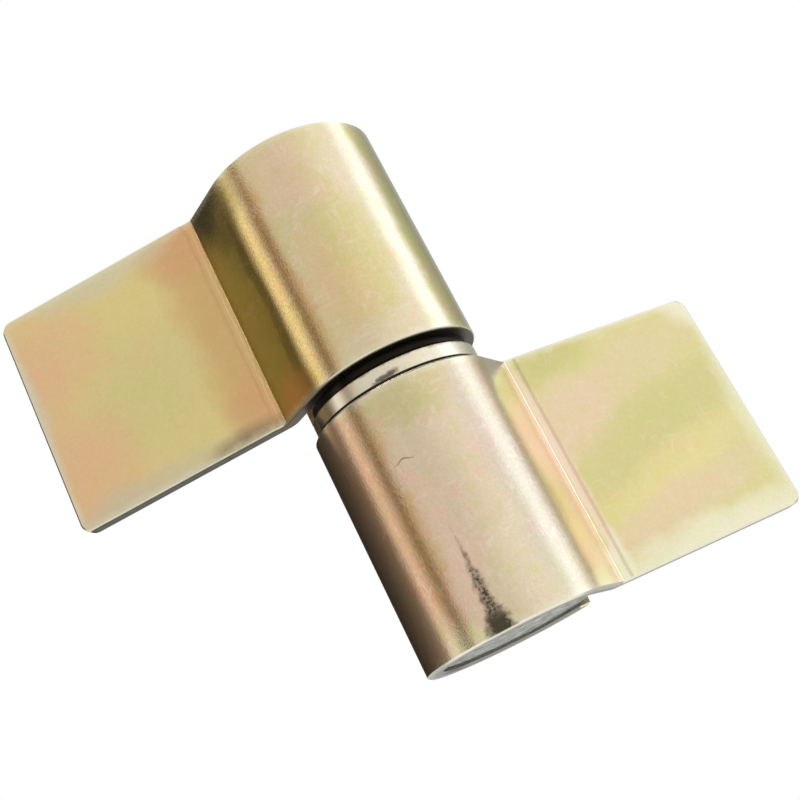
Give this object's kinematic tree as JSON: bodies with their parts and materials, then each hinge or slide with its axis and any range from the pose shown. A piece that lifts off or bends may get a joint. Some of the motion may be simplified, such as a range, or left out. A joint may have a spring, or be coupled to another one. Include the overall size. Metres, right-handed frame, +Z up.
{
  "type": "weld-on barrel hinge",
  "caption": "Lift-off weld-on barrel hinge: flat flag leaves rolled round a thick pin, with a stepped thrust washer between the barrels.",
  "frame": {"origin": "middle of the frame leaf's weld face, the flat back of its leaf", "axes": "+Z up the pin, from the frame leaf's barrel to the door leaf's; +Y straight out of the frame leaf's weld face; +X from the pin towards the frame leaf's free edge"},
  "size_m": [0.082, 0.0318, 0.0668],
  "materials": {
    "yellow_zinc": "yellow passivated zinc plating over pressed steel",
    "washer_zinc": "pale zinc plating over turned steel",
    "pin_steel": "turned steel, sawn ends"
  },
  "bodies": {
    "frame_half": {"frame_leaf": "yellow_zinc", "hinge_pin": "pin_steel"},
    "washer": {"thrust_washer": "washer_zinc"},
    "door_half": {"door_leaf": "yellow_zinc"}
  },
  "joints": [
    {"name": "swing", "type": "hinge", "parent": "frame_half", "child": "washer", "pos_m": [-0.0291, 0.00185, 0.01575], "axis": [0, 0, 1], "continuous": true},
    {"name": "lift_off", "type": "slide", "parent": "washer", "child": "door_half", "axis": [0, 0, 1], "range_m": [0, 0.034]}
  ]
}
